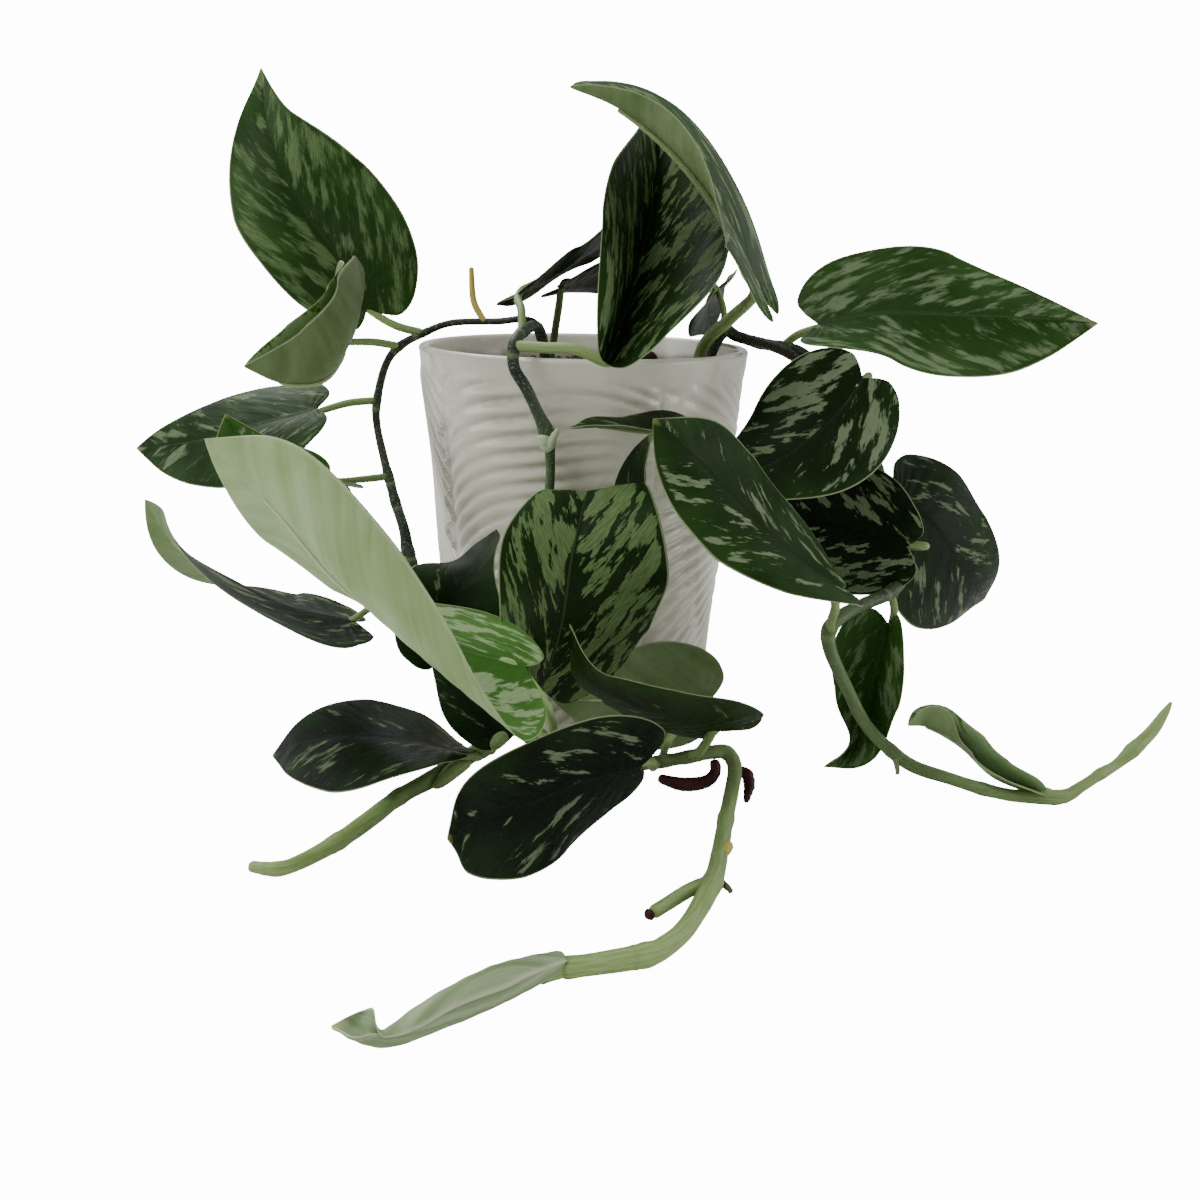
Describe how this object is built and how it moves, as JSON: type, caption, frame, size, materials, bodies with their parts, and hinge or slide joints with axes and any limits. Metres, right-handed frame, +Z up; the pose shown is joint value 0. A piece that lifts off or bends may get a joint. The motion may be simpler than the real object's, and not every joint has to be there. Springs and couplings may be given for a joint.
{
  "type": "potted satin pothos",
  "caption": "Trailing satin pothos in a tapered white ceramic pot: vines cross the rim and run down to the surface, with silver-flecked heart-shaped leaves",
  "frame": {"origin": "centre of the pot's foot, on the surface it stands on", "axes": "+Z up, +X to the right and +Y away from the front; the longest vine trails to the front, -Y"},
  "size_m": [0.3955, 0.3052, 0.2512],
  "materials": {
    "glaze": "white glazed ceramic, glossy",
    "soil": "dark brown potting mix, rough",
    "stem": "green stem skin, semi-matt",
    "leaf": "dark green leaf with silver flecks, satin",
    "young_leaf": "pale green rolled leaf, satin"
  },
  "bodies": {
    "root": {"pot": "glaze", "soil": "soil", "vine_left": "stem", "vine_front": "stem", "vine_right": "stem", "leaf_01": "leaf", "leaf_02": "leaf", "leaf_03": "leaf", "leaf_04": "leaf", "leaf_05": "leaf", "leaf_06": "leaf", "leaf_07": "leaf", "leaf_08": "leaf", "leaf_09": "leaf", "leaf_10": "leaf", "leaf_11": "leaf", "leaf_12": "leaf", "leaf_13": "leaf", "leaf_14": "leaf", "leaf_15": "leaf", "leaf_16": "leaf", "leaf_17": "leaf", "leaf_18": "leaf", "leaf_19": "leaf", "leaf_20": "leaf", "leaf_21": "leaf", "leaf_22": "leaf", "leaf_23": "leaf", "leaf_24": "leaf", "leaf_25": "leaf", "leaf_26": "leaf", "leaf_27": "leaf", "leaf_28": "young_leaf"}
  },
  "joints": []
}
